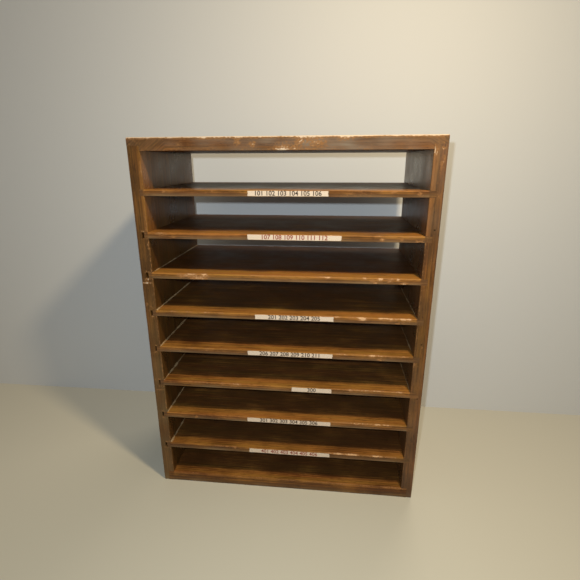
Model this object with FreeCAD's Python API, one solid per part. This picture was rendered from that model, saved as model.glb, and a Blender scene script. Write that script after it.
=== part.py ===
import FreeCAD, Part
import os

# Pigeonhole letter rack: an open wooden case with a stack of wide, shallow slots.
# Frame: +Z up, the front faces -Y, +X to the right seen from the front.
# The origin is on the floor, under the middle of the case. All sizes in millimetres.

# ---- case -------------------------------------------------------------------
case_width = 304.8
case_height = 406.4
case_depth = 152.4
slot_count = 9

# ---- boards -----------------------------------------------------------------
side_thickness = 12.7
top_thickness = 12.7
bottom_thickness = 12.7
shelf_thickness = 6.35
edge_easing = 0.6           # radius on the long arrises of the case boards
shelf_easing = 0.4          # radius on the long arrises of the shelves

# ---- joints -----------------------------------------------------------------
dado_depth = 6.35           # grooves across the sides that house the shelf ends
dado_play = 0.15            # each groove is this much taller than its shelf
shelf_end_gap = 2.0         # the shelves stop this far short of the left grooves' bottoms
top_rabbet_depth = 4.8      # steps under the top board's ends, over the sides
foot_rabbet_depth = 6.35    # steps in the feet of the sides, round the bottom board

# ---- nails and brads --------------------------------------------------------
nail_diameter = 1.8
nail_length = 32.0
nail_head_diameter = 3.2
nail_head_thickness = 0.9
nails_per_joint = 3
brad_diameter = 1.2
brad_length = 19.0
brad_head_diameter = 1.9
brad_head_thickness = 0.7
brads_per_joint = 2
nail_inset = 22.0           # from the front and back faces to the outermost nails
hole_play = 0.05            # pilot holes are this much larger in radius than a shank

# ---- paper labels on the shelf fronts ---------------------------------------
label_thickness = 0.15
label_margin = 0.43         # wood left bare above and below each strip
label_right_end = 54.6      # most strips end this far right of the middle of the case
label_1_right_end = 45.7
label_2_right_end = 59.6
label_1_length = 80.0
label_2_length = 95.4
label_4_length = 85.4
label_5_length = 94.8
label_6_length = 46.0
label_7_length = 98.0
label_8_length = 97.1
# shelf number from the top: (right end, length); the third shelf has no strip
label_places = {
    1: (label_1_right_end, label_1_length),
    2: (label_2_right_end, label_2_length),
    4: (label_right_end, label_4_length),
    5: (label_right_end, label_5_length),
    6: (label_right_end, label_6_length),
    7: (label_right_end, label_7_length),
    8: (label_right_end, label_8_length),
}

# ---- worked-out places ------------------------------------------------------
right_face = case_width / 2.0
left_face = -right_face
front_face = -case_depth / 2.0
back_face = case_depth / 2.0
inner_right = right_face - side_thickness
inner_left = left_face + side_thickness
top_underside = case_height - top_thickness
shelf_count = slot_count - 1
slot_height = (top_underside - bottom_thickness - shelf_count * shelf_thickness) / slot_count
slot_pitch = slot_height + shelf_thickness
left_dado_bottom = inner_left - dado_depth
right_dado_bottom = inner_right + dado_depth

os.makedirs("parts", exist_ok=True)


def shelf_underside(number):
    """Height of the lower face of a shelf, counted from the top."""
    return top_underside - number * slot_pitch


def block(low, high):
    """A rectangular solid between two opposite corners."""
    size = [high[axis] - low[axis] for axis in range(3)]
    return Part.makeBox(size[0], size[1], size[2], FreeCAD.Vector(*low))


def eased_board(low, high, along, radius):
    """A board with its four long arrises rounded. `along` is the axis of its length."""
    board = block(low, high)
    long_edges = []
    for edge in board.Edges:
        start, end = edge.Vertexes[0].Point, edge.Vertexes[-1].Point
        run = end.sub(start)
        across = [abs(run[axis]) for axis in range(3) if axis != along]
        if max(across) < 1e-6:
            long_edges.append(edge)
    return board.makeFillet(radius, long_edges)


def spread(count):
    """Depths of `count` fasteners, evenly spaced between the two insets."""
    first = front_face + nail_inset
    last = back_face - nail_inset
    return [first + (last - first) * step / (count - 1) for step in range(count)]


def fastener(face_point, direction, shank_diameter, length, head_diameter, head_thickness):
    """A nail driven flush: a thin head at the face, then the shank and its pointed tip."""
    point = FreeCAD.Vector(*face_point)
    axis = FreeCAD.Vector(*direction)
    tip_length = 1.5 * shank_diameter
    shank_length = length - head_thickness - tip_length
    head = Part.makeCylinder(head_diameter / 2.0, head_thickness, point, axis)
    shank_start = point + axis * head_thickness
    shank = Part.makeCylinder(shank_diameter / 2.0, shank_length, shank_start, axis)
    tip_start = shank_start + axis * shank_length
    tip = Part.makeCone(shank_diameter / 2.0, 0.0, tip_length, tip_start, axis)
    return head.fuse(shank).fuse(tip).removeSplitter()


def nail(face_point, direction, play=0.0):
    """A nail of the case joints, or with `play` the hole that it makes."""
    return fastener(face_point, direction, nail_diameter + 2.0 * play, nail_length + play,
                    nail_head_diameter + 2.0 * play, nail_head_thickness + play)


def brad(face_point, direction, play=0.0):
    """A thin brad of the shelf joints, or with `play` the hole that it makes."""
    return fastener(face_point, direction, brad_diameter + 2.0 * play, brad_length + play,
                    brad_head_diameter + 2.0 * play, brad_head_thickness + play)


# Each list holds (face point, direction) pairs, one per fastener.
down = (0, 0, -1)
rightward = (1, 0, 0)
leftward = (-1, 0, 0)
left_middle = left_face + side_thickness / 2.0
right_middle = right_face - side_thickness / 2.0
bottom_middle = bottom_thickness / 2.0
top_nails_left = [((left_middle, depth, case_height), down) for depth in spread(nails_per_joint)]
top_nails_right = [((right_middle, depth, case_height), down) for depth in spread(nails_per_joint)]
foot_nails_left = [((left_face, depth, bottom_middle), rightward) for depth in spread(nails_per_joint)]
foot_nails_right = [((right_face, depth, bottom_middle), leftward) for depth in spread(nails_per_joint)]


def shelf_brads(number, face_x, way):
    """The brads through one side into the end of one shelf."""
    middle = shelf_underside(number) + shelf_thickness / 2.0
    return [((face_x, depth, middle), way) for depth in spread(brads_per_joint)]


shelf_numbers = range(1, shelf_count + 1)
shelf_brads_left = [place for number in shelf_numbers for place in shelf_brads(number, left_face, rightward)]
shelf_brads_right = [place for number in shelf_numbers for place in shelf_brads(number, right_face, leftward)]


def drilled(board, nails, brads):
    """The board with the holes that its nails and brads make."""
    holes = [nail(point, way, hole_play) for point, way in nails]
    holes += [brad(point, way, hole_play) for point, way in brads]
    return board.cut(holes)


def side_board(outer, inner, nails, brads):
    """A side: a plank with a groove for each shelf and a step at its foot."""
    side_top = top_underside + top_rabbet_depth
    low = (min(outer, inner), front_face, 0.0)
    high = (max(outer, inner), back_face, side_top)
    plank = eased_board(low, high, 2, edge_easing)
    into = 1 if outer > inner else -1
    groove_ends = sorted([inner, inner + into * dado_depth])
    foot_ends = sorted([inner, inner + into * foot_rabbet_depth])
    cuts = [block((foot_ends[0], front_face, 0.0), (foot_ends[1], back_face, bottom_thickness))]
    for number in shelf_numbers:
        groove_bottom = shelf_underside(number)
        groove_top = groove_bottom + shelf_thickness + dado_play
        cuts.append(block((groove_ends[0], front_face, groove_bottom),
                          (groove_ends[1], back_face, groove_top)))
    return drilled(plank.cut(cuts), nails, brads)


def shelf_board(number):
    """A thin shelf: its right end is home in the groove, its left end stops short."""
    low_z = shelf_underside(number)
    low = (left_dado_bottom + shelf_end_gap, front_face, low_z)
    high = (right_dado_bottom, back_face, low_z + shelf_thickness)
    plank = eased_board(low, high, 0, shelf_easing)
    brads = shelf_brads(number, left_face, rightward) + shelf_brads(number, right_face, leftward)
    return drilled(plank, [], brads)


def top_board():
    """The top: over both sides, with a step under each end."""
    plank = eased_board((left_face, front_face, top_underside), (right_face, back_face, case_height),
                        0, edge_easing)
    step_top = top_underside + top_rabbet_depth
    steps = [block((left_face, front_face, top_underside), (inner_left, back_face, step_top)),
             block((inner_right, front_face, top_underside), (right_face, back_face, step_top))]
    return drilled(plank.cut(steps), top_nails_left + top_nails_right, [])


def bottom_board():
    """The bottom: between the sides, its ends in the steps at their feet."""
    plank = eased_board((inner_left - foot_rabbet_depth, front_face, 0.0),
                        (inner_right + foot_rabbet_depth, back_face, bottom_thickness),
                        0, edge_easing)
    return drilled(plank, foot_nails_left + foot_nails_right, [])


def label_strip(number):
    """A strip of paper glued along the front edge of a shelf."""
    right_end, length = label_places[number]
    low_z = shelf_underside(number) + label_margin
    high_z = shelf_underside(number) + shelf_thickness - label_margin
    return block((right_end - length, front_face - label_thickness, low_z),
                 (right_end, front_face, high_z))


def save(name, shape):
    shape.exportStep("parts/" + name + ".step")


save("left_side", side_board(left_face, inner_left, top_nails_left + foot_nails_left, shelf_brads_left))
save("right_side", side_board(right_face, inner_right, top_nails_right + foot_nails_right,
                              shelf_brads_right))
save("top_board", top_board())
save("bottom_board", bottom_board())
for number in shelf_numbers:
    save("shelf_%d" % number, shelf_board(number))
for number in label_places:
    save("label_%d" % number, label_strip(number))
save("top_nails_left", Part.makeCompound([nail(*place) for place in top_nails_left]))
save("top_nails_right", Part.makeCompound([nail(*place) for place in top_nails_right]))
save("foot_nails_left", Part.makeCompound([nail(*place) for place in foot_nails_left]))
save("foot_nails_right", Part.makeCompound([nail(*place) for place in foot_nails_right]))
save("shelf_brads_left", Part.makeCompound([brad(*place) for place in shelf_brads_left]))
save("shelf_brads_right", Part.makeCompound([brad(*place) for place in shelf_brads_right]))
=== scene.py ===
import bmesh
import bpy
import math
from mathutils import Euler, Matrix, Quaternion, Vector, noise


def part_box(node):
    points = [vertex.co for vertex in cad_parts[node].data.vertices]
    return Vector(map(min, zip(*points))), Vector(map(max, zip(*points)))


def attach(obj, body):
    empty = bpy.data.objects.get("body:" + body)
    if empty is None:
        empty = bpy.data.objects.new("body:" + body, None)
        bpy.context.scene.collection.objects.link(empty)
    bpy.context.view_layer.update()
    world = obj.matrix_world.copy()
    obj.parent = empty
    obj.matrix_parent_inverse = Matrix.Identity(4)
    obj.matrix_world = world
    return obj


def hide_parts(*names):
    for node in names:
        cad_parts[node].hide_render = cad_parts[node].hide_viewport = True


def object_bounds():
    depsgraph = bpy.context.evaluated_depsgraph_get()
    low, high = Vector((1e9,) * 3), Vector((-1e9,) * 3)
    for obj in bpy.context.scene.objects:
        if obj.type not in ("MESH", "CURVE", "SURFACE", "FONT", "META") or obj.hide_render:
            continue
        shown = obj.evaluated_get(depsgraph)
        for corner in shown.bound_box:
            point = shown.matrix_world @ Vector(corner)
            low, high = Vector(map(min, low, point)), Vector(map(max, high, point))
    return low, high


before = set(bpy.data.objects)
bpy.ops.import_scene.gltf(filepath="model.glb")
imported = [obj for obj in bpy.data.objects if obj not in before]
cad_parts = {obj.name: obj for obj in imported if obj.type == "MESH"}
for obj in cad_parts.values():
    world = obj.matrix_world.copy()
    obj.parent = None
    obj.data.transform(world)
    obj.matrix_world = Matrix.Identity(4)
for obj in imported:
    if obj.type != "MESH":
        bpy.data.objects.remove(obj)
cad_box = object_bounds()
case_low, case_high = cad_box
mm = 0.001

# ---- The two sides ---------------------------------------------------------------------
# Planed oak boards stood on end. Each has a groove across its inner face for every shelf
# and a step at its foot for the bottom board. Handling has rounded and rubbed the corners.
side_ease = (0.9 * mm, 0.9 * mm, 0.9 * mm, 0.9 * mm)   # radius of each long corner
free_end = 0.5 * mm             # easing of an end that shows, and of one housed in a joint
housed_end = 0.03 * mm
groove_play = 0.03 * mm         # the grooves are this much taller than their shelves
# how far each left groove runs past the end of its shelf; the first is filled with stopping
left_gaps = {1: 0.0, 2: 2.2 * mm, 3: 3.0 * mm, 4: 2.4 * mm, 5: 1.6 * mm, 6: 1.8 * mm,
             7: 2.2 * mm, 8: 2.4 * mm}
nails_per_joint = 3
brads_per_joint = 2
nail_head = 1.65 * mm           # radius of the sunk place round a nail head
brad_head = 1.0 * mm            # radius of the sunk place round a brad head
head_depth = 0.9 * mm
tack_hole = 1.0 * mm            # radius of the hole that a pulled tack leaves
tack_depth = 4.0 * mm
past = 5.0 * mm                 # how far a cutting box runs out of the wood
shelf_numbers = range(1, 9)     # counted from the top
board_marks = ("worn", "dirt_and_sheen", "dull", "tone_and_painted_light")   # what each point of a board carries


def linear(hex_colour):
    """An sRGB hex colour as the linear colour that a shader socket takes."""
    channels = [int(hex_colour[start:start + 2], 16) / 255.0 for start in (1, 3, 5)]
    low_end = [value / 12.92 for value in channels]
    high_end = [((value + 0.055) / 1.055) ** 2.4 for value in channels]
    return [low if value <= 0.04045 else high
            for value, low, high in zip(channels, low_end, high_end)] + [1.0]


def add_node(material, kind, settings=None, links=None, stops=None):
    """Adds a node. `settings` are its options and socket values, `links` feed its sockets.

    `stops` are the places and colours of a ramp.
    """
    tree = material.node_tree
    node = tree.nodes.new(kind)
    for key, value in (settings or {}).items():
        if isinstance(key, str) and hasattr(node, key):
            setattr(node, key, value)
        else:
            node.inputs[key].default_value = value
    for key, source in (links or {}).items():
        output = source.outputs[0] if isinstance(source, bpy.types.Node) else source
        tree.links.new(output, node.inputs[key])
    if stops:
        ramp = node.color_ramp.elements
        while len(ramp) < len(stops):
            ramp.new(1.0)
        for element, (place, hex_colour) in zip(ramp, stops):
            element.position = place
            element.color = linear(hex_colour)
    return node


def new_material(name):
    """An empty node material."""
    material = bpy.data.materials.new(name)
    material.use_nodes = True
    material.node_tree.nodes.clear()
    return material


def stained_oak(name, dark, middle, light, rubbed, bare, grime, gloss):
    """Oak, plain-sawn, stained walnut brown and oil-varnished long ago.

    To the eye: long soft streaks of the year rings, short dark pores along the grain, a thin
    uneven gloss, flecks rubbed paler by hands, bare wood where it chipped and grey-brown dirt
    held in the corners. The boards carry where they are worn, soiled, dull or paler. On the top
    board the soiling also holds a painted sheen, and the paleness holds painted light and shade
    besides the stain.
    """
    ring_width = 2.6 * mm
    ring_contrast = 0.16
    streak_width = 1.8 * mm
    streak_contrast = 0.7
    blotch_width = 40.0 * mm
    blotch_contrast = 0.6
    tint_width = 9.0 * mm       # of the drifts between a redder and a greener brown
    pore_width = 0.8 * mm       # real pores are a third of this, too fine to show
    fleck_width = 1.3 * mm
    wave_period = 0.314         # length of one ring of the Wave texture at a scale of 1
    material = new_material(name)
    place = add_node(material, "ShaderNodeAttribute", {"attribute_name": "grain"})
    vector = place.outputs["Vector"]
    worn, dirt_and_sheen, dull, tone_and_painted_light = [
        add_node(material, "ShaderNodeAttribute", {"attribute_name": key}).outputs["Fac"]
        for key in board_marks]
    drawn_out = add_node(material, "ShaderNodeMapping", {"Scale": (0.05, 1.0, 1.0)},
                         {"Vector": vector})
    rings = add_node(material, "ShaderNodeTexWave",
                     {"wave_type": "RINGS", "rings_direction": "X", "wave_profile": "SAW",
                      "Scale": wave_period / ring_width, "Distortion": 16.0, "Detail": 3.0,
                      "Detail Scale": 0.22, "Detail Roughness": 0.55},
                     {"Vector": drawn_out})
    streaks = add_node(material, "ShaderNodeTexNoise",
                       {"Scale": 1.0 / streak_width, "Detail": 4.0, "Roughness": 0.6},
                       {"Vector": drawn_out})
    short = add_node(material, "ShaderNodeMapping", {"Scale": (0.14, 1.0, 1.0)},
                     {"Vector": vector})
    pores = add_node(material, "ShaderNodeTexNoise",
                     {"Scale": 1.0 / pore_width, "Detail": 2.0, "Roughness": 0.6},
                     {"Vector": short})
    pore_mask = add_node(material, "ShaderNodeMapRange",
                         {"From Min": 0.57, "From Max": 0.72}, {"Value": pores})
    blotches = add_node(material, "ShaderNodeTexNoise",
                        {"Scale": 1.0 / blotch_width, "Detail": 3.0, "Roughness": 0.6},
                        {"Vector": vector})
    even = 0.5 - 0.5 * (ring_contrast + streak_contrast + blotch_contrast)
    base = add_node(material, "ShaderNodeMath", {"operation": "ADD", 1: even}, {0: tone_and_painted_light})
    ringed = add_node(material, "ShaderNodeMath",
                      {"operation": "MULTIPLY_ADD", 1: ring_contrast},
                      {0: rings.outputs["Fac"], 2: base})
    streaked = add_node(material, "ShaderNodeMath",
                        {"operation": "MULTIPLY_ADD", 1: streak_contrast},
                        {0: streaks, 2: ringed})
    figure = add_node(material, "ShaderNodeMath",
                      {"operation": "MULTIPLY_ADD", 1: blotch_contrast},
                      {0: blotches, 2: streaked})
    wood = add_node(material, "ShaderNodeValToRGB", links={0: figure},
                    stops=[(0.2, dark), (0.5, middle), (0.8, light)])
    hues = add_node(material, "ShaderNodeTexNoise",
                    {"Scale": 1.0 / tint_width, "Detail": 3.0, "Roughness": 0.6},
                    {"Vector": drawn_out})
    hue = add_node(material, "ShaderNodeValToRGB", links={0: hues},
                   stops=[(0.35, "#FFF0E4"), (0.65, "#F6FFE4")])
    tinted = add_node(material, "ShaderNodeMixRGB", {"blend_type": "MULTIPLY", "Fac": 1.0},
                      {"Color1": wood, "Color2": hue})
    pored = add_node(material, "ShaderNodeMixRGB",
                     {"blend_type": "MULTIPLY", "Color2": linear("#B0A090")},
                     {"Fac": pore_mask, "Color1": tinted})
    fleck_place = add_node(material, "ShaderNodeMapping", {"Scale": (0.6, 1.0, 1.0)},
                           {"Vector": vector})
    flecks = add_node(material, "ShaderNodeTexNoise",
                      {"Scale": 1.0 / fleck_width, "Detail": 2.0, "Roughness": 0.65},
                      {"Vector": fleck_place})
    loss = add_node(material, "ShaderNodeMath", {"operation": "ADD"}, {0: worn, 1: flecks})
    rub_mask = add_node(material, "ShaderNodeMapRange",
                        {"From Min": 0.70, "From Max": 0.95}, {"Value": loss})
    bare_mask = add_node(material, "ShaderNodeMapRange",
                         {"From Min": 1.00, "From Max": 1.16}, {"Value": loss})
    dirt_hold = add_node(material, "ShaderNodeMapRange",
                         {"From Min": 0.3, "From Max": 0.6, "To Min": 0.5}, {"Value": streaks})
    dirt_and_sheen_mask = add_node(material, "ShaderNodeMath", {"operation": "MULTIPLY", "use_clamp": True},
                         {0: dirt_and_sheen, 1: dirt_hold})
    grimy = add_node(material, "ShaderNodeMixRGB", {"Color2": linear(grime)},
                     {"Fac": dirt_and_sheen_mask, "Color1": pored})
    dry = add_node(material, "ShaderNodeMixRGB", {"Color2": linear(rubbed)},
                   {"Fac": rub_mask, "Color1": grimy})
    colour = add_node(material, "ShaderNodeMixRGB", {"Color2": linear(bare)},
                      {"Fac": bare_mask, "Color1": dry})
    # the film shines more where it is seen at a grazing slant
    slant = add_node(material, "ShaderNodeLayerWeight")
    skim = add_node(material, "ShaderNodeMapRange",
                    {"From Min": 0.87, "From Max": 0.94, "To Min": 1.0, "To Max": 0.6},
                    {"Value": slant.outputs["Facing"]})
    polish = add_node(material, "ShaderNodeMapRange",
                      {"From Min": 0.35, "From Max": 0.65, "To Min": gloss[0], "To Max": gloss[1]},
                      {"Value": blotches})
    film = add_node(material, "ShaderNodeMath", {"operation": "MULTIPLY"}, {0: polish, 1: skim})
    lost = add_node(material, "ShaderNodeMath", {"operation": "MAXIMUM"}, {0: dull, 1: rub_mask})
    roughness = add_node(material, "ShaderNodeMapRange", {"To Max": 0.8},
                         {"Value": lost, "To Min": film})
    relief = add_node(material, "ShaderNodeMath",
                      {"operation": "MULTIPLY_ADD", 1: -0.7}, {0: pore_mask, 2: streaks})
    chipped = add_node(material, "ShaderNodeMath",
                       {"operation": "MULTIPLY_ADD", 1: -1.5}, {0: bare_mask, 2: relief})
    bump = add_node(material, "ShaderNodeBump", {"Strength": 0.4, "Distance": 0.2 * mm},
                    {"Height": chipped})
    shader = add_node(material, "ShaderNodeBsdfPrincipled", {"Specular IOR Level": 0.32},
                      {"Base Color": colour, "Roughness": roughness, "Normal": bump})
    add_node(material, "ShaderNodeOutputMaterial", links={"Surface": shader})
    return material


def section(near, far, low, high, radii):
    """The outline of a board across its length, as (depth, height) points.

    It runs up the narrow front, back along the broad top, down the back and forward again.
    Each corner is an arc. Extra points near the corners let the wear fade within a few mm.
    """
    arc_steps = 4
    narrow_steps = 5
    broad_marks = (2.5 * mm, 6.0 * mm, 10.0 * mm, 14.0 * mm, 18.0 * mm, 26.0 * mm)
    corners = [(near, low, 1, 1, 270.0), (near, high, 1, -1, 180.0),
               (far, high, -1, -1, 90.0), (far, low, -1, 1, 0.0)]
    arcs = []
    for (depth, height, inward, upward, start), radius in zip(corners, radii):
        arc = []
        for step in range(arc_steps + 1):
            angle = math.radians(start - 90.0 * step / arc_steps)
            arc.append((depth + radius * (inward + math.cos(angle)),
                        height + radius * (upward + math.sin(angle))))
        arcs.append(arc)
    outline = []
    for index, arc in enumerate(arcs):
        outline += arc
        start, end = Vector(arc[-1]), Vector(arcs[(index + 1) % 4][0])
        length = (end - start).length
        if index % 2 == 0:
            shares = [step / narrow_steps for step in range(1, narrow_steps)]
        else:
            shares = [mark / length for mark in broad_marks]
            shares += [1.0 - share for share in reversed(shares)]
        outline += [tuple(start.lerp(end, share)) for share in shares]
    return outline


def plank(name, node, along, ease, end_eases, free=None, chips=()):
    """A board in the place of a CAD node, its long corners eased, uneven and chipped.

    `ease` holds the radius of the front low, front high, back high and back low corners, and
    `free` the stretch that isn't housed in the sides, outside which they stay sharp.
    A chip is (corner, middle, half length, depth).
    """
    station_step = 1.5 * mm
    sharp = 0.15                # share of the radius that a housed corner keeps
    waver = 0.4                 # how unevenly the corners were eased
    dent = 0.9 * mm             # depth of the small dents, and how rare they are
    dent_rarity = 0.38
    low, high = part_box(node)
    height_axis = 0 if along == 2 else 2
    length = high[along] - low[along]
    count = round(length / station_step)
    places = [low[along] + length * step / count for step in range(count + 1)]
    places.insert(1, places[0] + end_eases[0])
    places.insert(-1, places[-1] - end_eases[1])
    mesh = bmesh.new()
    loops = []
    for index, place in enumerate(places):
        inset = {0: end_eases[0], len(places) - 1: end_eases[1]}.get(index, 0.0)
        housed = free is not None and not free[0] < place < free[1]
        radii = []
        for corner in range(4):
            seed = Vector((place * 60.0, corner * 7.3, low[2] * 90.0 + low[0] * 31.0))
            radius = ease[corner] * (1.0 + waver * noise.noise(seed))
            radius += dent * max(0.0, noise.noise(seed * 2.7) - dent_rarity)
            for chip_corner, middle, half_length, depth in chips:
                share = 1.0 - ((place - middle) / half_length) ** 2
                if chip_corner == corner and share > 0.0:
                    ragged = 0.65 + 0.5 * noise.noise(Vector((place * 800.0, corner, 3.0)))
                    radius += depth * math.sqrt(share) * ragged
            radii.append(radius * sharp if housed else radius)
        outline = section(low[1] + inset, high[1] - inset, low[height_axis] + inset,
                          high[height_axis] - inset, radii)
        loop = []
        for depth, height in outline:
            point = [0.0, depth, 0.0]
            point[along] = place
            point[height_axis] = height
            loop.append(mesh.verts.new(point))
        loops.append(loop)
    skin(mesh, loops)
    return finished(name, mesh)


def skin(mesh, loops):
    """Joins loops of points that follow one another along a piece, and closes its two ends."""
    for first, second in zip(loops, loops[1:]):
        for index in range(len(first)):
            mesh.faces.new((first[index - 1], first[index], second[index], second[index - 1]))
    mesh.faces.new(loops[0])
    mesh.faces.new(loops[-1])


def finished(name, mesh):
    """Turns a bmesh into an object of the scene, with its faces pointing outwards."""
    bmesh.ops.recalc_face_normals(mesh, faces=mesh.faces)
    data = bpy.data.meshes.new(name)
    mesh.to_mesh(data)
    mesh.free()
    piece = bpy.data.objects.new(name, data)
    bpy.context.scene.collection.objects.link(piece)
    return piece


def cut(board, boxes=(), sinks=()):
    """Cuts boxes (low, high) and round sinks (centre, radius, depth, axis) out of a board."""
    quarter = math.pi / 2.0
    turns = {0: Euler((0.0, quarter, 0.0)), 1: Euler((quarter, 0.0, 0.0)), 2: Euler()}
    tool = bmesh.new()
    for low, high in boxes:
        for vert in bmesh.ops.create_cube(tool, size=1.0)["verts"]:
            vert.co = Vector([low[axis] + (vert.co[axis] + 0.5) * (high[axis] - low[axis])
                              for axis in range(3)])
    for centre, radius, depth, axis in sinks:
        for vert in bmesh.ops.create_cone(tool, cap_ends=True, segments=20, radius1=radius,
                                          radius2=radius, depth=2.0 * depth)["verts"]:
            vert.co.rotate(turns[axis])
            vert.co += Vector(centre)
    cutter = finished("cutter", tool)
    modifier = board.modifiers.new("cut", "BOOLEAN")
    modifier.operation = "DIFFERENCE"
    modifier.solver = "EXACT"
    modifier.object = cutter
    graph = bpy.context.evaluated_depsgraph_get()
    whole = board.data
    board.data = bpy.data.meshes.new_from_object(board.evaluated_get(graph))
    board.modifiers.clear()
    bpy.data.meshes.remove(whole)
    bpy.data.meshes.remove(cutter.data)


def in_a_row(nails, head, count):
    """Depths of the fasteners in a group, from the box of their CAD node."""
    low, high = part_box(nails)
    first, last = low[1] + head, high[1] - head
    return [first + (last - first) * step / (count - 1) for step in range(count)]


def dress(board, along, material, log_place, tilt, finish, swerve=None):
    """Records each point's place in the log and its marks, smooths the corners, adds the wood.

    `log_place` is where in the log the board was sawn, (along, across, through), and `tilt`
    turns it about its length. `finish` gives a point's four marks: how worn, soiled and dull it
    is, from 0 to 1, and how much paler than the rest it is, from the stain it took and from
    painted light and shade; on the top board the soiling holds a painted sheen too. `swerve`
    gives how far the grain has strayed to one side by then, where it runs round a knot.
    """
    data = board.data
    squarely = 0.9999           # a normal this near to an axis belongs to a flat face
    axes = [2, 1, 0] if along == 2 else [0, 1, 2]
    turn = Euler((tilt, 0.0, 0.0)).to_matrix()
    log_places = []
    finishes = []
    for vertex in data.vertices:
        local = Vector([vertex.co[axis] for axis in axes])
        strayed = Vector((0.0, 0.0, swerve(vertex.co) if swerve else 0.0))
        log_places.extend(turn @ (local + strayed) + Vector(log_place))
        finishes.append(finish(vertex.co))
    data.attributes.new("grain", "FLOAT_VECTOR", "POINT").data.foreach_set("vector", log_places)
    for key, values in zip(board_marks, zip(*finishes)):
        data.attributes.new(key, "FLOAT", "POINT").data.foreach_set("value", values)
    for polygon in data.polygons:
        polygon.use_smooth = max(abs(value) for value in polygon.normal) < squarely
    data.materials.clear()
    data.materials.append(material)


def fade(offset, reach):
    """1 at no offset, falling smoothly to 0 about `reach` away."""
    return math.exp(-(offset / reach) ** 2)


def patch(offset, half):
    """1 in the middle of a patch, falling to 0 at its edge."""
    return max(0.0, 1.0 - (offset / half) ** 2)


def unevenness(*place):
    """A smooth random factor about 1, nearly always from 0.4 to 1.6."""
    return 1.0 + 1.2 * noise.noise(Vector(place))


front_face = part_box("top_board")[0][1]
front_reach = 1.8 * mm          # how far behind the front faces their wear and dirt fade out


def at_front(point):
    """1 on the front face of the case, falling to 0 a few mm behind it."""
    return fade(point.y - front_face, front_reach)


case_tones = {"dark": "#3D250F", "middle": "#5B3919", "light": "#835426", "rubbed": "#885E36",
              "bare": "#CDB497", "gloss": (0.24, 0.40)}
case_oak = stained_oak("stained oak, case", grime="#786857", **case_tones)
yellowed_oak = stained_oak("stained oak, case, yellowed", grime="#7D6642", **case_tones)
foot_dust_reach = 200.0 * mm    # how far up from the floor dust has settled on the fronts
top_reach = 70.0 * mm           # how far down from the top one side is darker and dustier
foot_dirt_reach = 8.0 * mm      # how far the scuffed dirt at the foot goes, up and across
rubbed_line = 1.5 * mm          # width of the rubbed line along the inner front corner
# the rubbed rims above and below the open end of a groove: how far from its middle, half
# their height, how far in from the outer face, and half their width
rim_offset = 4.0 * mm
rim_half_height = 1.8 * mm
rim_place = 7.5 * mm
rim_half_width = 3.5 * mm
# the strip of the inner face, behind its front corner, that is painted paler above the second
# shelf as painted light and darker below it as painted shade: how wide it is and how deep
painted_strip_width = 3.0 * mm
painted_strip_depth = 25.0 * mm


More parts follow.
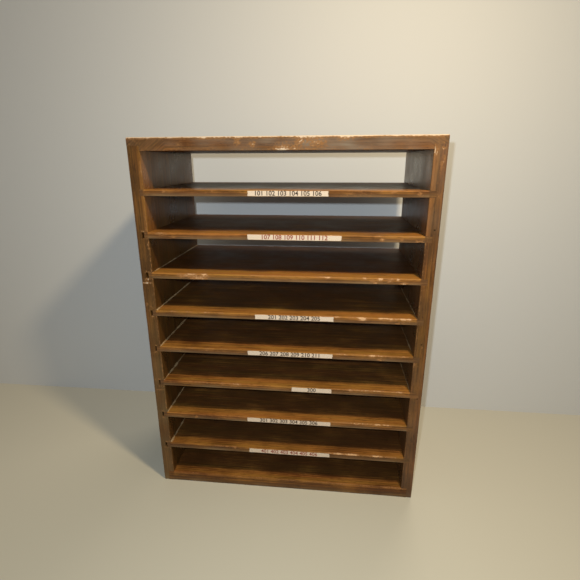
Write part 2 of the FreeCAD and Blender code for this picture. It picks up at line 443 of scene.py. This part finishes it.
def side_board(name, oak, outer, inner, gaps, log_place, tilt, marks):
    """One side, with its grooves, its step at the foot and the sunk places of its nail heads.

    `gaps` is how far each groove runs past the end of its shelf. In `marks`, "shade" is how
    light the side is, "foot dust", "top dust" and "top stain" how dusty it is at the foot and
    how dusty and dark near the top, and "inner dirt" how dirty behind the front. "scuffs" are
    places on the front edge where the finish is gone: (distance in from the outer face, height,
    half width, half height, loss), in mm, and "tacks" tack holes there: (distance in, height).
    """
    low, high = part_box(name)
    board = plank(name + "_board", name, 2, side_ease, (free_end, housed_end))
    inward = math.copysign(1.0, inner - outer)
    open_end = inner + inward * past
    boxes = []
    shelf_boxes = {number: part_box("shelf_%d" % number) for number in shelf_numbers}
    for number, (shelf_low, shelf_high) in shelf_boxes.items():
        shelf_end = (shelf_low if inward > 0 else shelf_high)[0]
        groove_end = shelf_end - inward * gaps[number]
        boxes.append(((min(groove_end, open_end), low[1] - past, shelf_low[2] - groove_play),
                      (max(groove_end, open_end), high[1] + past, shelf_high[2] + groove_play)))
    bottom_low, bottom_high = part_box("bottom_board")
    step_end = bottom_low[0] if inward > 0 else bottom_high[0]
    boxes.append(((min(step_end, open_end), low[1] - past, low[2] - past),
                  (max(step_end, open_end), high[1] + past, bottom_high[2])))
    hand = name.split("_")[0]
    sinks = [((outer, depth, bottom_high[2] / 2.0), nail_head, head_depth, 0)
             for depth in in_a_row("foot_nails_" + hand, nail_head, nails_per_joint)]
    for shelf_low, shelf_high in shelf_boxes.values():
        middle = (shelf_low[2] + shelf_high[2]) / 2.0
        sinks += [((outer, depth, middle), brad_head, head_depth, 0)
                  for depth in in_a_row("shelf_brads_" + hand, brad_head, brads_per_joint)]
    sinks += [((outer + inward * inset * mm, low[1], height * mm), tack_hole, tack_depth, 1)
              for inset, height in marks["tacks"]]
    cut(board, boxes, sinks)

    def finish(point):
        front = at_front(point)
        near_top = fade(high[2] - point.z, top_reach)
        dust = marks["foot dust"] * fade(point.z, foot_dust_reach) + marks["top dust"] * near_top
        rub = (0.13 + 0.25 * point.z) * unevenness(point.z * 60.0, outer * 40.0, 5.0)
        worn = 0.07 + rub * fade(point.x - inner, rubbed_line)
        worn += 0.4 * rub * fade(point.x - outer, mm)
        for inset, height, half_width, half_height, loss in marks["scuffs"]:
            across = patch(point.x - outer - inward * inset * mm, half_width * mm)
            worn += loss * across * patch(point.z - height * mm, half_height * mm)
        for number in shelf_numbers:
            middle = (shelf_boxes[number][0][2] + shelf_boxes[number][1][2]) / 2.0
            rim = patch(abs(point.z - middle) - rim_offset, rim_half_height)
            if gaps[number] and rim:
                worn += (0.3 * rim * unevenness(point.z * 500.0, point.x * 300.0, 9.0)
                         * patch(point.x - outer - inward * rim_place, rim_half_width))
        dirt = (dust + 0.02) * front * unevenness(point.z * 35.0, outer, 2.0)
        dirt += marks["inner dirt"] * (1.0 - front)
        dirt += 0.4 * fade(point.z, foot_dirt_reach) * fade(point.x - outer, foot_dirt_reach)
        # painted light and shade: the inner face's strip behind its front corner is painted paler
        # above the second shelf and darker below it
        painted_light_and_shade = ((0.3 if point.z > shelf_boxes[2][1][2] else -0.1)
               * fade(point.x - inner, painted_strip_width) * fade(point.y - front_face, painted_strip_depth))
        return worn * front, dirt, 0.3 * front, marks["shade"] - marks["top stain"] * near_top + painted_light_and_shade

    dress(board, 2, oak, log_place, tilt, finish)
    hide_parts(name)
    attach(board, "root")


inner_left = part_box("left_side")[1][0]
inner_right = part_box("right_side")[0][0]
right_gaps = {number: 0.0 for number in shelf_numbers}
left_marks = {
    "shade": -0.02, "foot dust": 0.42, "top dust": 0.0, "top stain": 0.0, "inner dirt": 0.1,
    "scuffs": [(2, 259.5, 2.5, 1.2, 0.55), (5.5, 259.5, 2, 1.4, 0.9), (9, 259, 3, 1.4, 0.5),
               (6, 263, 5, 2.5, 0.25), (8, 268, 3, 3, 0.2), (3, 235, 2, 3, 0.35),
               (8, 232, 3, 2, 0.3), (5, 163, 3, 1.5, 0.3), (5, 129, 3.5, 1.2, 0.36),
               (8, 129, 3, 1.2, 0.34), (11, 322, 1.2, 10, 0.25), (11, 300, 1.2, 6, 0.3),
               (3, 142, 2, 1.5, 0.35)],
    "tacks": [],
}
right_marks = {
    "shade": 0.06, "foot dust": 0.12, "top dust": 0.35, "top stain": 0.1, "inner dirt": 0.18,
    "scuffs": [(11, 392, 1.3, 5, 0.45), (9.3, 392, 1.8, 5, 0.42), (4, 394.5, 3, 2.2, 0.55),
               (3, 384, 2, 8, 0.38), (6, 377, 1.2, 8, 0.42), (4, 352, 2, 3, 0.35),
               (6, 196, 1.3, 1.3, 0.5), (5, 137, 1.2, 1.4, 0.5), (11, 176, 1.5, 3, 0.4),
               (4, 290, 1.5, 12, 0.25)],
    "tacks": [(4.8, 320), (6, 199.5), (5, 134)],
}
side_board("left_side", yellowed_oak, case_low[0], inner_left, left_gaps, (0.3, 0.09, -0.04),
           0.35, left_marks)
side_board("right_side", case_oak, case_high[0], inner_right, right_gaps, (1.9, -0.06, 0.07),
           -0.2, right_marks)

# ---- The eight shelves -----------------------------------------------------------------
# Thin oak boards, housed in the grooves and bradded through the sides. Hands and envelopes
# have rubbed their front edges, and knocks have taken chips and scratches out of them.
shelf_ease = (0.35 * mm, 0.9 * mm, 0.7 * mm, 0.35 * mm)
shelf_oak = stained_oak("stained oak, shelves", dark="#3D2310", middle="#5E3818", light="#A16D33",
                        rubbed="#98683C", bare="#CBA074", grime="#7A6042", gloss=(0.42, 0.58))
shelf_dust = {1: 0.9, 2: 0.5}   # how dull the back edges have gone
# how much lighter than the rest each shelf took the stain, and how much paler the front stretch of
# its top is painted, as painted light
shelf_shades = {1: -0.05, 2: -0.03, 3: -0.03, 4: -0.06, 5: -0.05, 6: 0.0, 7: -0.05, 8: -0.06}
shelf_painted_light = {1: 0.3, 2: 0.32, 3: 0.38, 4: 0.36, 5: 0.27, 6: 0.24, 7: 0.29, 8: 0.26}
painted_light_reach = 23.5 * mm        # how far in from the front the boards are painted paler, as painted light from above,
reach_lost = 1.2 * mm           # and how much less on each board further down
rub_reach = 1.1 * mm            # how far below its corner a rubbed stretch goes
knock_half_height = 0.4         # in heights of the edge
stretch_rise = 3.0              # how soon a rubbed stretch reaches its full strength
upper_shaded_shelves = 3             # the upper ones, whose far parts are painted darker as painted shade; the others get dirt there instead
# stretches of the upper front corner that are rubbed to a pale line: (start, end, loss), in mm
rubs = {1: [(-60, 40, 0.15), (60, 130, 0.2)],
        2: [(-138, -110, 0.2), (20, 138, 0.3)],
        3: [(-115, -78, 0.2), (-60, 138, 0.28)],
        4: [(-130, -60, 0.25), (30, 100, 0.38), (98, 136, 0.5)],
        5: [(-110, -60, 0.2), (48, 139, 0.38)],
        6: [(-118, -44, 0.25), (50, 138, 0.36)],
        7: [(-80, -40, 0.2), (48, 139, 0.4)],
        8: [(-90, -50, 0.2), (46, 138, 0.45)]}
# knocks on the front edges: (middle, half length, height in the edge from 0 to 1, loss), in mm
knocks = {1: [(-119, 3, 0.8, 0.3), (-69, 2, 0.8, 0.25), (106, 3, 0.9, 0.3), (131, 3, 0.5, 0.35),
              (75, 25, 0.4, 0.12)],
          2: [(-125, 9, 0.75, 0.28), (-114, 4, 0.25, 0.35), (99, 3, 0.45, 0.4),
              (118, 3, 0.4, 0.25), (134, 4, 0.1, 0.4)],
          3: [(-96, 9, 0.8, 0.36), (-83, 6, 0.85, 0.45), (-107, 9, 0.55, 0.38),
              (-88, 15, 0.35, 0.3), (-90, 12, 0.1, 0.3), (47, 4, 0.95, 0.42),
              (84, 2, 0.9, 0.45), (91, 4, 0.5, 0.34), (99, 3.5, 0.8, 0.62),
              (95, 3, 0.1, 0.5), (109, 5, 0.6, 0.34), (117, 2.5, 0.8, 0.45),
              (123, 5, 0.1, 0.55)],
          4: [(40, 2, 0.9, 0.3), (83.5, 6, 0.75, 0.7), (103, 5, 0.85, 0.25), (114, 8, 0.8, 0.3),
              (129, 9, 0.8, 0.3), (121, 12, 0.15, 0.25)],
          5: [(96, 4, 0.9, 0.36), (105, 5, 0.25, 0.3), (-85, 3, 0.6, 0.2)],
          6: [(-55, 9, 0.7, 0.22), (-70, 3, 0.8, 0.25), (75, 4, 0.9, 0.3)],
          7: [(-104, 2, 0.4, 0.4), (83, 5, 0.95, 0.3), (107, 4, 0.95, 0.3)],
          8: [(-60, 3, 0.8, 0.3), (64, 5, 0.95, 0.1), (75, 6, 0.95, 0.12),
              (109, 6, 0.95, 0.1), (-20, 3, 0.7, 0.3)]}
# chips out of the wood itself: (corner, middle, half length, depth) in mm, corner 0 low, 1 high
shelf_chips = {2: [(0, 134, 3, 0.9), (0, -114, 2.5, 0.6)],
               3: [(0, 95, 2.5, 1.0), (0, 123, 4, 0.9), (1, 99, 2.5, 0.6), (0, -82, 4, 0.5)],
               4: [(1, 83.5, 4.5, 1.2), (1, 114, 6, 0.7), (1, 129, 6, 0.6)],
               5: [(1, 96, 3, 0.6)]}


def painted_light_band(point, number):
    """The share of painted light: 1 at the front of a board, falling to 0 further in. The boards
    count from the top.
    """
    reach = painted_light_reach - number * reach_lost
    return fade((point.y - front_face) ** 2, reach ** 2)


def shelf_board(number):
    """One shelf, its front edge chipped, rubbed and knocked, its top painted paler in front as
    painted light and its far parts left dark as painted shade.
    """
    name = "shelf_%d" % number
    low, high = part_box(name)
    chips = [(corner, middle * mm, half_length * mm, depth * mm)
             for corner, middle, half_length, depth in shelf_chips.get(number, ())]
    shelf = plank(name + "_oak", name, 0, shelf_ease, (housed_end, housed_end),
                  free=(inner_left, inner_right), chips=chips)

    def finish(point):
        front = at_front(point)
        height = (point.z - low[2]) / (high[2] - low[2])
        uneven = unevenness(point.x * 90.0, number * 3.7, 0.0)
        worn = 0.08
        for start, end, loss in rubs[number]:
            half = (end - start) / 2.0 * mm
            stretch = min(1.0, stretch_rise * patch(point.x - (start + end) / 2.0 * mm, half))
            worn += loss * uneven * stretch * fade(point.z - high[2], rub_reach)
        for middle, half_length, centre, loss in knocks[number]:
            worn += (loss * patch(point.x - middle * mm, half_length * mm)
                     * patch(height - centre, knock_half_height))
        dirt = 0.75 * fade(height, 0.45) * unevenness(point.x * 30.0, number, 4.0) * front
        # painted light: the front stretch of the top is painted paler where light from above falls;
        # on the upper shelves the far parts are painted darker as shade
        faded = painted_light_band(point, number)
        painted_light_and_tone = shelf_painted_light[number] * height ** 2 * faded
        if number > upper_shaded_shelves:
            dirt += 0.12 * (1.0 - faded)
        else:
            painted_light_and_tone -= 0.07 * (1.0 - faded)
        if not inner_left < point.x < inner_right:
            painted_light_and_tone, dirt = -0.02, 0.3 * front
        dust = shelf_dust.get(number, 0.0) * max(0.0, point.y / case_high[1])
        return worn * front, dirt, max(0.25 * front, dust), shelf_shades[number] + painted_light_and_tone

    dress(shelf, 0, shelf_oak, (number * 0.61, 0.13 - 0.03 * number, 0.02 * number - 0.09),
          0.5 - 0.13 * number, finish)
    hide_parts(name)
    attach(shelf, "root")


for number in shelf_numbers:
    shelf_board(number)

# ---- The bottom board ------------------------------------------------------------------
# Thicker oak stained like the shelves, laid between the sides with its ends in the steps at
# their feet, and nailed through them.
bottom = plank("bottom_board_oak", "bottom_board", 0, side_ease, (housed_end, housed_end),
               free=(inner_left, inner_right))
bottom_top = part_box("bottom_board")[1][2]
bottom_number = len(shelf_numbers) + 1      # its place among the boards, from the top


def bottom_finish(point):
    """Rubbed more to the right, soiled low on its front, with painted light and shade like the
    shelves.
    """
    front = at_front(point)
    height = point.z / bottom_top
    uneven = unevenness(point.x * 50.0, 2.0, 1.0)
    worn = 0.07 + (0.2 + 0.9 * point.x) * uneven * fade(point.z - bottom_top, mm)
    # painted light: the front stretch of its top is painted paler where light from above falls
    faded = painted_light_band(point, bottom_number)
    dirt = 0.55 * fade(height, 0.35) * uneven * front + 0.1 * (1.0 - faded)
    painted_light_and_tone = 0.2 * height ** 2 * faded - 0.05
    if not inner_left < point.x < inner_right:
        painted_light_and_tone = 0.0
    return worn * front, dirt, 0.2, painted_light_and_tone


dress(bottom, 0, shelf_oak, (3.1, 0.11, 0.03), 0.1, bottom_finish)
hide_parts("bottom_board")
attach(bottom, "root")

# ---- The top board ---------------------------------------------------------------------
# The same oak as the sides. It lies over them, with a step cut under each end, and is nailed
# down into them. Its front edge is the most knocked of all.
top_ease = (0.35 * mm, 1.0 * mm, 0.9 * mm, 0.35 * mm)
top = plank("top_board_oak", "top_board", 0, top_ease, (free_end, free_end))
top_low, top_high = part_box("top_board")
side_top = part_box("left_side")[1][2]
top_steps = [((case_low[0] - past, case_low[1] - past, top_low[2] - past),
              (inner_left, case_high[1] + past, side_top)),
             ((inner_right, case_low[1] - past, top_low[2] - past),
              (case_high[0] + past, case_high[1] + past, side_top))]
top_sinks = []
for nails in ("top_nails_left", "top_nails_right"):
    nails_low, nails_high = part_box(nails)
    nail_line = (nails_low[0] + nails_high[0]) / 2.0
    top_sinks += [((nail_line, depth, top_high[2]), nail_head, head_depth, 2)
                  for depth in in_a_row(nails, nail_head, nails_per_joint)]
cut(top, top_steps, top_sinks)
worn_corner = 1.2 * mm          # width of the worn lines along its front corners
top_sheen_middle = 35.0 * mm     # where along the front the dirt and a painted sheen lie thickest, and how far about it
top_sheen_reach = 90.0 * mm
pale_band = 1.6 * mm            # a pale band this far above its lower front corner, as wide
# knocks on its front edge, in mm: (middle, half length, height from the underside, half height,
# loss)
top_knocks = [(-100, 5, 5, 4, 0.25), (-42, 4, 8, 4, 0.40), (-28, 5, 6, 4, 0.38),
              (17, 6, 8, 4, 0.26), (5, 16, 4, 5, 0.24), (30, 18, 8, 5, 0.29),
              (20, 30, 1, 2.5, 0.21), (2, 4, 2, 3, 0.18), (-5, 12, 1, 2.5, 0.2),
              (60, 10, 10, 4, 0.27), (-143, 10, 8, 5, 0.12), (146, 6, 6, 6, 0.2),
              (-75, 6, 12, 3, 0.25), (35, 9, 5, 4, 0.16)]


def top_finish(point):
    """Bare along its upper front corner, knocked and grey below with dirt and a painted sheen, dull
    underneath.
    """
    front = at_front(point)
    uneven = unevenness(point.x * 70.0, 8.0, 1.0)
    worn = 0.08 + (0.62 + 0.12 * uneven) * fade(point.z - top_high[2], worn_corner)
    worn += 0.14 * uneven * fade(point.z - top_low[2], worn_corner)
    for middle, half_length, height, half_height, loss in top_knocks:
        worn += (loss * patch(point.x - middle * mm, half_length * mm)
                 * patch(point.z - top_low[2] - height * mm, half_height * mm))
    # dirt along the front, with a painted sheen of the lamp beside the camera that greys it most a
    # little right of the middle
    dirt = (0.14 + 0.6 * fade(point.x - top_sheen_middle, top_sheen_reach)) * front
    dirt *= unevenness(point.x * 60.0, point.z * 150.0, 7.0)
    underneath = 1.0 if point.z < top_low[2] + 0.2 * mm else 0.0
    lower_band = 0.16 * fade(point.z - top_low[2] - pale_band, pale_band) * front
    return worn * front, dirt, max(0.5 * underneath, 0.5 * front), lower_band + 0.12 * underneath


def top_swerve(point):
    """The grain falls away to both ends of the front edge, past knots sawn off the board."""
    left_knot, right_knot = inner_left + 26.0 * mm, inner_right - 4.0 * mm
    knot_depth = 6.0 * mm
    left_fall = max(0.0, left_knot - point.x)
    right_fall = max(0.0, point.x - right_knot)
    return (0.75 * left_fall + 0.6 * right_fall) * fade(point.y - front_face, knot_depth)


dress(top, 0, case_oak, (4.4, -0.08, 0.05), -0.15, top_finish, top_swerve)
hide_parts("top_board")
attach(top, "root")

# ---- The nails and brads ---------------------------------------------------------------
# Bright steel wire nails, gone dull and brown with age, driven until their heads lay flush.


def aged_steel():
    """Mild steel wire, cut and headed, its shine dulled by a skin of rust: grey with brown."""
    patch_width = 0.9 * mm
    material = new_material("aged steel")
    patches = add_node(material, "ShaderNodeTexNoise",
                       {"Scale": 1.0 / patch_width, "Detail": 3.0})
    colour = add_node(material, "ShaderNodeValToRGB", links={0: patches},
                      stops=[(0.40, "#8C8880"), (0.62, "#5B4231")])
    shader = add_node(material, "ShaderNodeBsdfPrincipled", {"Metallic": 0.8, "Roughness": 0.5},
                      {"Base Color": colour})
    add_node(material, "ShaderNodeOutputMaterial", links={"Surface": shader})
    return material


steel = aged_steel()
for name in ("top_nails_left", "top_nails_right", "foot_nails_left", "foot_nails_right",
             "shelf_brads_left", "shelf_brads_right"):
    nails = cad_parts[name]
    nails.data.materials.clear()
    nails.data.materials.append(steel)

# ---- Glue along the ends of the shelves ------------------------------------------------
# Thin beads of glue, run along the corner between the lower shelves and the left side, and
# finer ones on the right. They dried hard and tan, and have gathered dust.
left_glued = shelf_numbers[2:]          # the shelves glued at the left, 3 to 8
right_glued = shelf_numbers[3:6]        # and at the right, 4 to 6
left_bead = 0.9 * mm                    # how far a bead reaches from its corner
first_left_bead = 0.5 * mm
right_bead = 0.3 * mm


def dried_glue():
    """Bone glue, brushed on hot and dried: hard, tan, slightly glossy, dusty in patches."""
    patch_width = 5.0 * mm
    material = new_material("dried glue")
    dust = add_node(material, "ShaderNodeTexNoise", {"Scale": 1.0 / patch_width, "Detail": 3.0})
    colour = add_node(material, "ShaderNodeValToRGB", links={0: dust},
                      stops=[(0.38, "#5C4834"), (0.62, "#CCA878")])
    shader = add_node(material, "ShaderNodeBsdfPrincipled", {"Roughness": 0.45},
                      {"Base Color": colour})
    add_node(material, "ShaderNodeOutputMaterial", links={"Surface": shader})
    return material


def glue_bead(name, side_face, way, surface, size, seed):
    """A thin uneven fillet from front to back in the corner of a shelf and a side.

    `way` is 1 where the bead lies to the right of the side's face and -1 to its left.
    """
    step_length = 2.0 * mm
    sunk = 0.1 * mm             # how far it runs into the wood
    proud = 0.02 * mm           # its thin edges
    end_gap = 1.0 * mm          # how far short of the front and back it stops
    count = round((case_high[1] - front_face - 2.0 * end_gap) / step_length)
    mesh = bmesh.new()
    loops = []
    for step in range(count + 1):
        depth = front_face + end_gap + step_length * step
        depth = min(depth, case_high[1] - end_gap)
        reach = size * unevenness(depth * 120.0, seed, 0.0) * unevenness(depth * 35.0, seed, 4.0)
        hollow = 0.38 * reach   # its face is hollow: a flat one would be at half its reach
        outline = [(-sunk, -sunk), (reach, -sunk), (reach, proud), (hollow, hollow),
                   (proud, reach), (-sunk, reach)]
        loops.append([mesh.verts.new((side_face + way * across, depth, surface + height))
                      for across, height in outline])
    skin(mesh, loops)
    bead = finished(name, mesh)
    bead.data.materials.append(glue)
    for polygon in bead.data.polygons:
        polygon.use_smooth = len(polygon.vertices) == 4
    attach(bead, "root")


glue = dried_glue()
for number in left_glued:
    glue_bead("left_glue_%d" % number, inner_left, 1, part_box("shelf_%d" % number)[1][2],
              first_left_bead if number == left_glued[0] else left_bead, number * 5.0)
for number in right_glued:
    glue_bead("right_glue_%d" % number, inner_right, -1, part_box("shelf_%d" % number)[1][2],
              right_bead, number * 5.0 + 2.0)

# ---- The paper labels ------------------------------------------------------------------
# Strips of cream paper glued along the shelf fronts, each typed with the plain numbers of
# what its slot takes. Their ends are torn by hand.


def old_paper():
    """Uncoated paper, pasted on and handled: matt, pinkish cream, with soft brown mottling."""
    mottle_width = 2.5 * mm
    material = new_material("old paper")
    mottle = add_node(material, "ShaderNodeTexNoise", {"Scale": 1.0 / mottle_width, "Detail": 4.0})
    colour = add_node(material, "ShaderNodeValToRGB", links={0: mottle},
                      stops=[(0.32, "#BC9F82"), (0.60, "#E2CFB8")])
    shader = add_node(material, "ShaderNodeBsdfPrincipled", {"Roughness": 0.85},
                      {"Base Color": colour})
    add_node(material, "ShaderNodeOutputMaterial", links={"Surface": shader})
    return material


def ribbon_ink(name, colour):
    """Typewriter ribbon ink soaked into paper: flat, matt and a little faded."""
    patch_width = 1.2 * mm
    material = new_material(name)
    fading = add_node(material, "ShaderNodeTexNoise", {"Scale": 1.0 / patch_width, "Detail": 2.0})
    fading_mask = add_node(material, "ShaderNodeMapRange", {"From Min": 0.5, "From Max": 0.8},
                           {"Value": fading})
    faded = add_node(material, "ShaderNodeMixRGB",
                     {"Color1": linear(colour), "Color2": linear("#A48C78")},
                     {"Fac": fading_mask})
    shader = add_node(material, "ShaderNodeBsdfPrincipled", {"Roughness": 0.9},
                      {"Base Color": faded})
    add_node(material, "ShaderNodeOutputMaterial", links={"Surface": shader})
    return material


paper_thickness = 0.1 * mm
paste_gap = 0.005 * mm          # between the paper and the wood
edge_waver = 0.22 * mm          # how far the long edges waver in, and the torn ends go in
tear_depth = 0.8 * mm
bare_end = 7.5 * mm             # left blank at each end of a strip
ink_thickness = 0.02 * mm
type_size = 6.48 * mm           # gives digits 4.8 mm high
stroke_growth = 0.13 * mm       # how far the ink has spread round each stroke
paper = old_paper()
black_ink = ribbon_ink("black ribbon ink", "#2C211C")
red_ink = ribbon_ink("red ribbon ink", "#8C3A2C")
typed = {1: ("101 102 103 104 105 106", black_ink), 2: ("107 108 109 110 111 112", red_ink),
         4: ("201 202 203 204 205", black_ink), 5: ("206 207 208 209 210 211", black_ink),
         6: ("300", black_ink), 7: ("301 302 303 304 305 306", black_ink),
         8: ("401 402 403 404 405 406", red_ink)}


def paper_strip(name, low, high, seed):
    """A strip of paper with torn ends and slightly wavy long edges."""
    step_length = 0.8 * mm
    heights = 5
    count = round((high[0] - low[0]) / step_length)
    mesh = bmesh.new()
    rows = []
    for step in range(count + 1):
        across = low[0] + (high[0] - low[0]) * step / count
        row = []
        for level in range(heights):
            share = level / (heights - 1)
            ragged = noise.noise(Vector((across * 140.0, share * 0.3, seed)))
            edge_in = edge_waver * (1.0 + ragged) * abs(2.0 * share - 1.0)
            height = low[2] + (high[2] - low[2]) * share + math.copysign(edge_in, 0.5 - share)
            torn = 0.0
            if step in (0, count):
                torn = tear_depth * (1.0 + noise.noise(Vector((share * 3.1, seed, 7.0))))
            row.append((across + (torn if step == 0 else -torn), height))
        rows.append(row)
    back, front = front_face - paste_gap, front_face - paper_thickness
    layers = [[[mesh.verts.new((across, depth, height)) for across, height in row]
               for row in rows] for depth in (back, front)]
    for layer in layers:
        for first, second in zip(layer, layer[1:]):
            for level in range(heights - 1):
                mesh.faces.new((first[level], first[level + 1], second[level + 1], second[level]))
    lower = [[row[0] for row in layer] for layer in layers]
    upper = [[row[-1] for row in layer] for layer in layers]
    for behind, before in (lower, upper, (layers[0][0], layers[1][0]),
                           (layers[0][-1], layers[1][-1])):
        for index in range(len(behind) - 1):
            mesh.faces.new((behind[index], behind[index + 1], before[index + 1], before[index]))
    strip = finished(name, mesh)
    strip.data.materials.append(paper)
    return strip


def typed_numbers(name, words, ink, middle, height, width):
    """A row of plain numbers as a thin layer of ink on the face of a strip."""
    words_curve = bpy.data.curves.new(name, "FONT")
    words_curve.body = words
    words_curve.size = type_size
    words_curve.align_x = "CENTER"
    words_curve.align_y = "CENTER"
    words_curve.extrude = ink_thickness / 2.0
    words_curve.offset = stroke_growth
    words_curve.resolution_u = 3
    text = bpy.data.objects.new(name + "_text", words_curve)
    bpy.context.scene.collection.objects.link(text)
    graph = bpy.context.evaluated_depsgraph_get()
    data = bpy.data.meshes.new_from_object(text.evaluated_get(graph))
    bpy.data.objects.remove(text)
    places = [vertex.co.x for vertex in data.vertices]
    squeeze = min(1.0, width / (max(places) - min(places)))
    for vertex in data.vertices:
        across, up, out = vertex.co
        vertex.co = (middle + across * squeeze,
                     front_face - paper_thickness - ink_thickness / 2.0 - out, height + up)
    data.materials.clear()
    data.materials.append(ink)
    piece = bpy.data.objects.new(name, data)
    bpy.context.scene.collection.objects.link(piece)
    return piece


for number, (words, ink) in typed.items():
    name = "label_%d" % number
    label_low, label_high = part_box(name)
    strip = paper_strip(name + "_paper", label_low, label_high, number * 1.7)
    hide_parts(name)
    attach(strip, "root")
    print_low, print_high = label_low[0] + bare_end, label_high[0] - bare_end
    numbers = typed_numbers(name + "_numbers", words, ink, (print_low + print_high) / 2.0,
                            (label_low[2] + label_high[2]) / 2.0, print_high - print_low)
    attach(numbers, "root")

# ---- The floor and the wall behind -----------------------------------------------------
# A plain pale floor, and a plain pale wall that leans back a little behind the case. Both melt
# into the backdrop where the lamps' light runs out. The wall shows from its front only, sends
# no light back on the case, and casts no shadow, so the lamp behind it shines through it.
wall_foot = 120.0 * mm
wall_lean = 0.055               # metres back for each metre up
room_half = 12.0
melt_start = 0.8                # metres from the middle of the foot of the case
melt_end = 1.5


def plain_surface(name, colour, one_sided=False):
    """Matt emulsion paint: an even pale colour with no gloss, melting away far from the case.

    A surface that is one-sided can't be seen from behind at all.
    """
    material = new_material(name)
    paint = add_node(material, "ShaderNodeBsdfDiffuse", {"Color": linear(colour)})
    place = add_node(material, "ShaderNodeTexCoord")
    away = add_node(material, "ShaderNodeVectorMath", {"operation": "LENGTH"},
                    {0: place.outputs["Object"]})
    gone = add_node(material, "ShaderNodeMapRange",
                    {"interpolation_type": "SMOOTHSTEP", "From Min": melt_start,
                     "From Max": melt_end}, {"Value": away.outputs["Value"]})
    if one_sided:
        side = add_node(material, "ShaderNodeNewGeometry")
        gone = add_node(material, "ShaderNodeMath", {"operation": "MAXIMUM"},
                        {0: side.outputs["Backfacing"], 1: gone})
    clear = add_node(material, "ShaderNodeBsdfTransparent")
    surface = add_node(material, "ShaderNodeMixShader", links={0: gone, 1: paint, 2: clear})
    add_node(material, "ShaderNodeOutputMaterial", links={"Surface": surface})
    return material


def room_surface(name, corners, material):
    """A flat four-cornered surface of the room."""
    data = bpy.data.meshes.new(name)
    data.from_pydata(corners, [], [(0, 1, 2, 3)])
    data.materials.append(material)
    surface = bpy.data.objects.new(name, data)
    bpy.context.scene.collection.objects.link(surface)
    return surface


room_surface("floor", [(-room_half, -room_half, 0), (room_half, -room_half, 0),
                       (room_half, room_half, 0), (-room_half, room_half, 0)],
             plain_surface("floor paint", "#CDC6B2"))
wall_head = wall_foot + wall_lean * room_half
wall = room_surface("wall", [(-room_half, wall_foot, 0), (room_half, wall_foot, 0),
                             (room_half, wall_head, room_half), (-room_half, wall_head, room_half)],
                    plain_surface("wall paint", "#DAD9D6", one_sided=True))
wall.visible_diffuse = False
wall.visible_shadow = False

# ---- The light -------------------------------------------------------------------------
# A warm lamp above and to the right in front, a cool one beside the camera, a broad soft one
# high up behind, and a low even fill from all round.
aim = Vector((0.0, 0.0, 0.2))
camera_place = Vector((0.0501, -0.4788, 0.3838))


def lamp(name, place, across, watts, colour):
    """A round lamp aimed at the middle of the case."""
    data = bpy.data.lights.new(name, "AREA")
    data.shape = "DISK"
    data.size = across
    data.energy = watts
    data.color = linear(colour)[:3]
    made = bpy.data.objects.new(name, data)
    made.location = place
    made.rotation_euler = (aim - Vector(place)).to_track_quat("-Z", "Y").to_euler()
    made.visible_camera = False
    bpy.context.scene.collection.objects.link(made)
    return made


lamp("key_lamp", (0.2, -0.297, 0.732), 55.0 * mm, 2.5, "#FFEAC2")
front_lamp = lamp("front_lamp", camera_place + Vector((-0.018, -0.01, 0.0195)), 8.0 * mm, 1.45,
                  "#E2F2FF")
front_lamp.visible_glossy = False       # it fills in the front without a glare of its own
lamp("back_lamp", (0.35, 0.8, 1.5), 700.0 * mm, 6.0, "#FFF6E8")

world = bpy.data.worlds.new("room light")
world.use_nodes = True
world.node_tree.nodes.clear()
fill = add_node(world, "ShaderNodeBackground", {"Color": linear("#FFFDF8"), "Strength": 0.18})
backdrop = add_node(world, "ShaderNodeBackground", {"Color": linear("#B4B0A4"), "Strength": 1.0})
rays = add_node(world, "ShaderNodeLightPath")
mirrored = add_node(world, "ShaderNodeMath", {"operation": "MAXIMUM"},
                    {0: rays.outputs["Is Glossy Ray"], 1: rays.outputs["Is Transmission Ray"]})
seen = add_node(world, "ShaderNodeMath", {"operation": "MAXIMUM"},
                {0: rays.outputs["Is Camera Ray"], 1: mirrored})
shown = add_node(world, "ShaderNodeMixShader", links={0: seen, 1: fill, 2: backdrop})
add_node(world, "ShaderNodeOutputWorld", links={"Surface": shown})
bpy.context.scene.world = world
bpy.context.scene.view_settings.view_transform = "Standard"

# ---- The camera ------------------------------------------------------------------------
# Held a little above the case and a little to its right, looking down at it.
camera_turn = math.radians(5.996)       # to the left of straight ahead
camera_down = math.radians(17.53)
camera_roll = math.radians(-0.171)
camera_data = bpy.data.cameras.new("camera")
camera_data.lens = 25.3246
camera_data.sensor_width = 36.0
camera = bpy.data.objects.new("camera", camera_data)
camera.location = camera_place
camera.rotation_mode = "QUATERNION"
camera.rotation_quaternion = (Quaternion((0, 0, 1), camera_turn)
                              @ Quaternion((1, 0, 0), math.pi / 2.0 - camera_down)
                              @ Quaternion((0, 0, 1), camera_roll))
bpy.context.scene.collection.objects.link(camera)
bpy.context.scene.camera = camera
